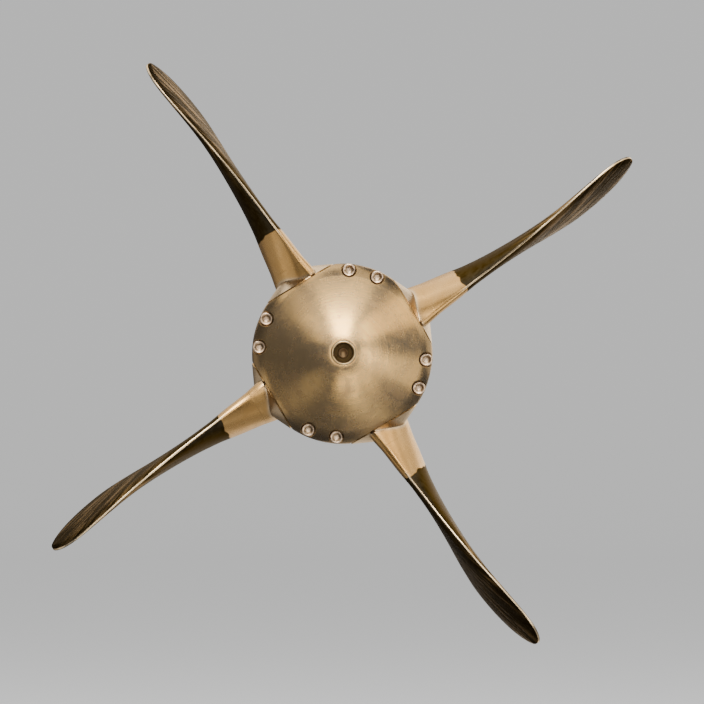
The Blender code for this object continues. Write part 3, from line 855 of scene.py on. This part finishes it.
def blade_mesh(name, angle):
    """One whole blade in world place: foot and palm turned, then the loft to the tip."""
    upper, chordwise, through, edge, corner_highlight = blade_loops()
    direction = upper[0, :, :2] / np.linalg.norm(upper[0, :, :2], axis=1)[:, None]
    foot = rounded([(0, FOOT_BOTTOM), (FOOT_RADIUS, FOOT_BOTTOM), (FOOT_RADIUS, FOOT_TOP),
                    (NECK_RADIUS, FOOT_TOP), (NECK_RADIUS, PALM_UNDERSIDE),
                    (PALM_RADIUS, PALM_UNDERSIDE), (PALM_RADIUS, PALM_RIM - 0.6)], 0.8)
    lower = np.concatenate([foot[:, None, :1] * direction,
                            foot[:, None, 1:] + 0 * direction[:, :1]], -1)
    plain = np.zeros(lower.shape[:2])
    local = np.concatenate([lower[..., [1, 0, 2]] * (-1, -1, 1),
                            np.stack([chordwise, through, upper[..., 2]], -1)])
    loops = np.concatenate([lower, upper])
    mesh = mesh_of(name, moved(loops, along_blade(angle)), facing=-1)
    store(mesh, "blade_place", local * MM, "FLOAT_VECTOR", "vector")
    store(mesh, "edge_distance", np.concatenate([plain + FAR_FROM_EDGE, edge]) * MM)
    store(mesh, "corner_highlight", np.concatenate([plain, corner_highlight]))
    return welded(mesh)


for number, (angle, body) in enumerate(zip(BLADE_ANGLES, BODIES), 1):
    finish = blade_bronze(f"blade_bronze_{number}", seed=0.37 * number)
    blade = piece(f"cast_blade_{number}", blade_mesh(f"cast_blade_{number}", angle), [finish], body,
                  "blade_bronze", [f"blade_{number}"], sharp=75)
print("blade points:", len(blade.data.vertices))

# %% [markdown]
# ## What is cut from the hub
# The real hub is two castings bored as one: a stepped socket for each blade's foot, a flat
# milled round each palm, and counterbored holes for the screws. These repeat, so one cutter
# mesh holds all the copies of a kind. A cutter for each hole would be much slower.

# %% Hub cutters
SPLIT_GAP = 0.3
STRAIGHT_BAND = 14.0
SHOULDER_POWER = 3
CREASE_RADIUS, CREASE_HEIGHT = 78.0, 45.0
DOME_POWER = 1.4
FLAT_HEIGHT, FLAT_REACH = 80.8, 60.0
SOCKET_RISE, FLAT_RISE = 10.0, 15.0  # how far these cutters stand out of the hub
SEAL_INNER, SEAL_OUTER = 37.95, 39.6
SEAL_BOTTOM, SEAL_TOP = 77.3, 80.5
SCREW_CIRCLE = 83.2
SCREW_PAIR_OFFSET = 10.0  # degrees either side of midway between two blades
SCREW_SEAT = 27.0
SCREW_LENGTH = 48.0
HOLE_BEYOND = 2.0  # a screw's hole is this much longer than the screw
HEAD_RADIUS, HEAD_HEIGHT = 6.5, 8.0
SHANK_RADIUS = 4.0
COUNTERBORE_RADIUS = 7.7
HEXAGON_FLATS = 6.0
BUSH_BORE, BUSH_OUTER = 9.9, 12.2
BUSH_LENGTH, BUSH_LIP = 22.0, 0.8
NOSE_SCREW_HEAD, NOSE_SCREW_HEIGHT = 5.0, 6.0
NOSE_SCREW_SHANK, NOSE_SCREW_LENGTH = 3.0, 16.0
NOSE_HEXAGON_FLATS = 5.0
HOUSING_REAR = 33.0
HOUSING_REAR_RADIUS = 60.0
HOUSING_REAR_ROUND = ((72.0, 3.0), (66.0, 0.8))  # radius, and distance in from the rear face
FLANGE_RADIUS, FLANGE_THICKNESS = 65.0, 14.0
FLANGE_NECK = 40.0
BOLT_CIRCLE, BOLT_HOLE_RADIUS = 53.0, 6.5
INNER_SCREW_CIRCLE, INNER_SCREW_LENGTH = 27.0, 40.0
INNER_SCREW_SINK = 2.0
SIXTHS = [60 * k for k in range(6)]  # the flange's bolts and screws are six each

SCREW_ANGLES = [angle + BLADE_STEP / 2 + side * SCREW_PAIR_OFFSET
                for angle in BLADE_ANGLES for side in (-1, 1)]
SCREW_PLACES = [along_shaft(SCREW_CIRCLE, angle, SCREW_SEAT) for angle in SCREW_ANGLES]
FLANGE_SCREW_PLACES = [along_shaft(INNER_SCREW_CIRCLE, 30 + angle,
                                   HEAD_HEIGHT + INNER_SCREW_SINK - BLADE_PLANE, backwards=True)
                       for angle in SIXTHS]
BLADE_PLACES = [along_blade(angle) for angle in BLADE_ANGLES]


def socket_cutter():
    """Room for the blades' feet, with a wider mouth for the seal ring."""
    gap, seat, mouth = RUNNING_GAP, SEAL_BOTTOM - SEAT_GAP, SEAL_OUTER + SEAT_GAP
    foot, neck, palm = FOOT_RADIUS + gap, NECK_RADIUS + gap, PALM_RADIUS + gap
    profile = [(foot, FOOT_BOTTOM - gap), (foot, FOOT_TOP + gap), (neck, FOOT_TOP + gap),
               (neck, PALM_UNDERSIDE - gap), (palm, PALM_UNDERSIDE - gap), (palm, seat),
               (mouth, seat), (mouth, HUB_RADIUS + SOCKET_RISE)]
    return cutter_of(turned(profile, 96), BLADE_PLACES)


def flat_cutter():
    """The flats milled round the palms."""
    square = np.array([(-1, -1), (1, -1), (1, 1), (-1, 1)]) * FLAT_REACH
    loops = np.stack([np.column_stack([square, np.full(4, z)])
                      for z in (FLAT_HEIGHT, HUB_RADIUS + FLAT_RISE)])
    return cutter_of(loops, BLADE_PLACES)


def stepped_hole(length, places, rise):
    """Screw holes: a drilled part, and a wider counterbore that rises past the surface."""
    drill = SHANK_RADIUS + SEAT_GAP
    profile = [(drill, -length - HOLE_BEYOND), (drill, -SEAT_GAP),
               (COUNTERBORE_RADIUS, -SEAT_GAP), (COUNTERBORE_RADIUS, rise)]
    return cutter_of(turned(profile, 64), places)


HALF_CUTTERS = [flat_cutter(), socket_cutter(),
                stepped_hole(SCREW_LENGTH, SCREW_PLACES, NOSE_HEIGHT)]
FLANGE_CUTTER = stepped_hole(INNER_SCREW_LENGTH, FLANGE_SCREW_PLACES, HEAD_HEIGHT + 10)
print("screws at", [round(angle % 360, 1) for angle in SCREW_ANGLES], "degrees")

# %% [markdown]
# ## The two halves of the hub
# The nose half is a dome: from the lip of the bush it falls slowly at first and then faster,
# height = 45 + 35 (1 - t^1.4) mm, to a crease, and then over a shoulder to a straight band.
# A part of a ball would show the lamps as round spots, and this near-cone shows them as
# wedges, as in the photograph. The rear half has the same shoulder and a short rounded step.

# %% Housing halves
HUB_COLUMNS = 288


def barrel_side():
    """Up the housing's side, R = 90 - 12 t^3, from the straight band over the shoulder."""
    height = np.arange(STRAIGHT_BAND, CREASE_HEIGHT, 1.0)
    part = (height - STRAIGHT_BAND) / (CREASE_HEIGHT - STRAIGHT_BAND)
    radius = HUB_RADIUS - (HUB_RADIUS - CREASE_RADIUS) * part**SHOULDER_POWER
    band = dense([(HUB_RADIUS, SPLIT_GAP / 2), (HUB_RADIUS, STRAIGHT_BAND - 1)], 2)
    return np.concatenate([[(0, SPLIT_GAP / 2)], band, np.column_stack([radius, height])])


def nose_half():
    """The dome, bored for the bush and the small screw."""
    reach = BUSH_OUTER + SEAT_GAP
    floor = NOSE_HEIGHT - BUSH_LENGTH - SEAT_GAP
    drill = NOSE_SCREW_SHANK + SEAT_GAP
    radius = np.linspace(CREASE_RADIUS, reach, 60)
    part = (radius - reach) / (CREASE_RADIUS - reach)
    height = CREASE_HEIGHT + (NOSE_HEIGHT - CREASE_HEIGHT) * (1 - part**DOME_POWER)
    hole_end = floor - NOSE_SCREW_LENGTH - HOLE_BEYOND
    profile = np.concatenate([barrel_side(), np.column_stack([radius, height]),
                              [(reach, floor), (drill, floor), (drill, hole_end), (0, hole_end)]])
    return cut(welded(mesh_of("nose_half", lathe(profile, HUB_COLUMNS))), HALF_CUTTERS)


def shaft_half():
    """The rear half, mirrored in the blade plane, with a short shoulder to its rear face."""
    rear = BLADE_PLANE - HOUSING_REAR
    shoulder = [(CREASE_RADIUS, CREASE_HEIGHT),
                *((radius, rear - back) for radius, back in HOUSING_REAR_ROUND),
                (HOUSING_REAR_RADIUS, rear)]
    profile = np.concatenate([barrel_side(), dense(rounded(shoulder, 3.0), 1.0), [(0, rear)]])
    profile[:, 1] *= -1
    mesh = welded(mesh_of("shaft_half", lathe(profile, HUB_COLUMNS), facing=-1))
    return cut(mesh, [*HALF_CUTTERS, FLANGE_CUTTER])


dome = piece("domed_half", nose_half(), *CASTING, ["nose_half"])
rear = piece("rear_half", shaft_half(), *CASTING, ["shaft_half"])
print("faces of the halves:", len(dome.data.polygons), len(rear.data.polygons))

# %% [markdown]
# ## The flange
# The photograph doesn't show how the hub meets its shaft. A bolted flange is the usual way:
# a disc, a waisted neck, six holes for the shaft's bolts and six sunk screws that hold it to
# the hub. It is turned and cut like the halves.

# %% Shaft flange
FLANGE_EDGE = 1.5
NECK_FILLET = ((4, 0), (1.2, 1.2), (0, 4))  # out from the neck, and up
NECK_FLARE = ((0, 8), (2.5, 3.5), (8, 1.5), (14, 0))  # out from the neck, and down


def shaft_flange():
    """The bolted flange with its waisted neck, turned about the shaft axis."""
    front = HOUSING_REAR - SEAT_GAP
    inner = FLANGE_RADIUS - FLANGE_EDGE
    corners = [(0, 0), (inner, 0), (FLANGE_RADIUS, FLANGE_EDGE),
               (FLANGE_RADIUS, FLANGE_THICKNESS - FLANGE_EDGE), (inner, FLANGE_THICKNESS),
               *((FLANGE_NECK + out, FLANGE_THICKNESS + up) for out, up in NECK_FILLET),
               *((FLANGE_NECK + out, front - down) for out, down in NECK_FLARE), (0, front)]
    profile = rounded(corners, 1.2)
    profile[:, 1] -= BLADE_PLANE
    mesh = welded(mesh_of("shaft_flange", lathe(profile, HUB_COLUMNS)))
    bolt_places = [along_shaft(BOLT_CIRCLE, angle, -BLADE_PLANE) for angle in SIXTHS]
    bolt = turned([(BOLT_HOLE_RADIUS, -5), (BOLT_HOLE_RADIUS, 25)], 64)
    return cut(mesh, [FLANGE_CUTTER, cutter_of(bolt, bolt_places)])


flange = piece("bolted_flange", shaft_flange(), *CASTING, ["shaft_flange"])
print("faces of the flange:", len(flange.data.polygons))

# %% [markdown]
# ## Socket head screws
# A cap screw has a knurled head, a dished top and a hexagon socket. Circles and hexagons are
# loops with the same number of points, so one grid runs from the tip over the head and down
# into the socket, where a cut would leave seams. Each screw is turned by another angle, as a
# fitter leaves them.

# %% Socket head screws
KNURLS = 36
KNURL_DEPTH = 0.012  # a share of the head's radius, as the next two are
HEAD_BEVEL = 0.14
DISH = 0.78
DISH_SLOPE = 0.55
SOCKET_FLOOR = 0.5  # share of the head's height
SOCKET_ROWS = 5


def screw_loops(head_radius, head_height, shank_radius, length, flats):
    """A screw about +Z with its head's underside at height 0.

    Its outer loops are circles, with a cosine of small depth for the knurl. The socket's
    loops are hexagons, r = (flats / 2) / cos(a - nearest side's angle).
    """
    count = KNURLS * 4
    angle = np.arange(count) * 2 * pi / count
    to_side = (angle + pi / 6) % (pi / 3) - pi / 6
    hexagon = flats / 2 / np.cos(to_side)
    corner = flats / 2 / np.cos(pi / 6)
    top, floor = head_height, head_height * SOCKET_FLOOR
    edge, dish = HEAD_BEVEL * head_radius, DISH * head_radius
    drop = (dish - corner) * DISH_SLOPE
    body = rounded([(0, -length), (shank_radius, -length), (shank_radius, 0), (head_radius, 0),
                    (head_radius, top - edge), (head_radius - edge * 0.35, top - edge * 0.35),
                    (head_radius - edge, top), (dish, top), (corner + 0.1, top - drop)], 0.45)
    rows = [np.full(count, r) for r, _ in body]
    heights = [h for _, h in body]
    knurl = KNURL_DEPTH * head_radius * (np.cos(angle * KNURLS) - 1)
    for k, (r, h) in enumerate(body):
        if r > head_radius - 0.01 and 0.8 < h < top - 1.4 * edge:
            rows[k] = rows[k] + knurl
    rows += [hexagon, hexagon, np.full(count, flats * 0.40), np.zeros(count)]
    heights += [top - drop - 0.1, floor, floor - 0.15, floor - flats * 0.10]
    radius = np.array(rows)
    height = np.array(heights)[:, None] + 0 * radius
    return np.stack([radius * np.cos(angle), radius * np.sin(angle), height], -1)


def screw(name, loops, place, node, finish=SCREW_STEEL, floor_shade=0.4):
    """Show one screw at its place. Its last rows are the socket, and the last two its floor."""
    mesh = mesh_of(name, moved(loops, place))
    socket = np.zeros(loops.shape[:2])
    # Painted shade in the socket. Its floor gets floor_shade, lighter where its floor is lit.
    socket[-SOCKET_ROWS:] = 1
    socket[-2:] = floor_shade
    store(mesh, "socket", socket)
    piece(name, welded(mesh), [finish], "hub", "screw_steel", [node], sharp=28)


for name, node, length, places, turn in (
        ("housing_screw", "cap_screw", SCREW_LENGTH, SCREW_PLACES, 23),
        ("sunk_screw", "flange_screw", INNER_SCREW_LENGTH, FLANGE_SCREW_PLACES, 31)):
    loops = screw_loops(HEAD_RADIUS, HEAD_HEIGHT, SHANK_RADIUS, length, HEXAGON_FLATS)
    for number, place in enumerate(places, 1):
        twist = Matrix.Rotation(radians(turn * number), 4, "Z")
        screw(f"{name}_{number}", loops, place @ twist, f"{node}_{number}")
small_screw = screw_loops(NOSE_SCREW_HEAD, NOSE_SCREW_HEIGHT, NOSE_SCREW_SHANK, NOSE_SCREW_LENGTH,
                          NOSE_HEXAGON_FLATS)
# The centre screw takes the darker steel and a dark socket floor: painted shade at the bottom of
# the bore.
screw("centre_screw", small_screw, along_shaft(height=NOSE_HEIGHT - BUSH_LENGTH), "nose_screw",
      SHADED_STEEL, floor_shade=1.3)
print("screws:", len(SCREW_PLACES) + len(FLANGE_SCREW_PLACES) + 1)

# %% [markdown]
# ## Bush and seals
# Both are closed rings: a lipped sleeve in the centre hole, and a rubber ring in each
# socket's mouth. A torus would be simpler for the seals, but they fill a square groove, so a
# rounded rectangle is turned instead.

# %% Bush and seals
def nose_bush():
    """The lipped sleeve in the centre hole."""
    floor, top = NOSE_HEIGHT - BUSH_LENGTH, NOSE_HEIGHT + BUSH_LIP
    corners = [(BUSH_BORE, floor), (BUSH_OUTER, floor), (BUSH_OUTER, NOSE_HEIGHT),
               (BUSH_OUTER - 0.7, top - 0.2), (BUSH_OUTER - 1.3, top), (BUSH_BORE + 0.5, top - 0.4),
               (BUSH_BORE, top - 1.1), (BUSH_BORE, floor)]
    profile = rounded(corners, 0.5)[:-1]
    return mesh_of("nose_bush", lathe(profile, 128), ring=True)


def seal_ring(place):
    """A ring of rounded section in the socket's mouth."""
    inner, outer, low, high = SEAL_INNER, SEAL_OUTER, SEAL_BOTTOM, SEAL_TOP
    corners = [(inner, low), (outer, low), (outer, high), (inner, high), (inner, low)]
    profile = rounded(corners, 0.6)[:-1]
    return mesh_of("seal_ring", moved(turned(profile, 128), place), ring=True)


piece("centre_bush", nose_bush(), [BUSH_BRONZE], "hub", "bright_bronze", ["nose_bush"])
for number, place in enumerate(BLADE_PLACES, 1):
    piece(f"rubber_seal_{number}", seal_ring(place), [SEAL_RUBBER], "hub", "seal_rubber",
          [f"palm_seal_{number}"])
print("rings: 1 bush and", len(BLADE_PLACES), "seals")

# %% [markdown]
# ## Floor and wall
# A plain pale paper lies under the propeller and curves up into a wall all round, so that
# the camera can look from any side. A flat sweep would hide the propeller from behind. The
# paper glows faintly, to be evenly pale, and doesn't show in reflections.

# %% Floor and wall
FLOOR_LEVEL = -420.0
FLOOR_REACH = 8500.0
WALL_REACH = 10000.0
WALL_TOP = 8000.0
PAPER = (0.84, 0.84, 0.83, 1)
PAPER_GLOW = 0.62


def cove():
    """Floor and wall: a line, a quarter circle and a line, turned about the upright axis."""
    bend = WALL_REACH - FLOOR_REACH
    turn = np.linspace(0, pi / 2, 24)
    arc = np.column_stack([FLOOR_REACH + bend * np.sin(turn),
                           FLOOR_LEVEL + bend * (1 - np.cos(turn))])
    profile = np.concatenate([[(0, FLOOR_LEVEL)], arc, [(WALL_REACH, WALL_TOP)]])
    return welded(mesh_of("pale_cove", turned(profile, 96)))


def pale_paper():
    """Matt paper with a faint glow of its own."""
    f = Finish("pale_paper")
    return f.done(f.principled(base_color=PAPER, roughness=0.9, emission_color=PAPER,
                               emission_strength=PAPER_GLOW))


backdrop = shown("pale_cove", cove())
backdrop.data.materials.append(pale_paper())
backdrop.data.shade_smooth()
backdrop.visible_glossy = backdrop.visible_diffuse = backdrop.visible_shadow = False
boxes_light.objects.link(backdrop)
boxes_light.collection_objects[0].light_linking.link_state = "EXCLUDE"
print("paper:", len(backdrop.data.polygons), "faces, wall", WALL_REACH * MM, "m away")
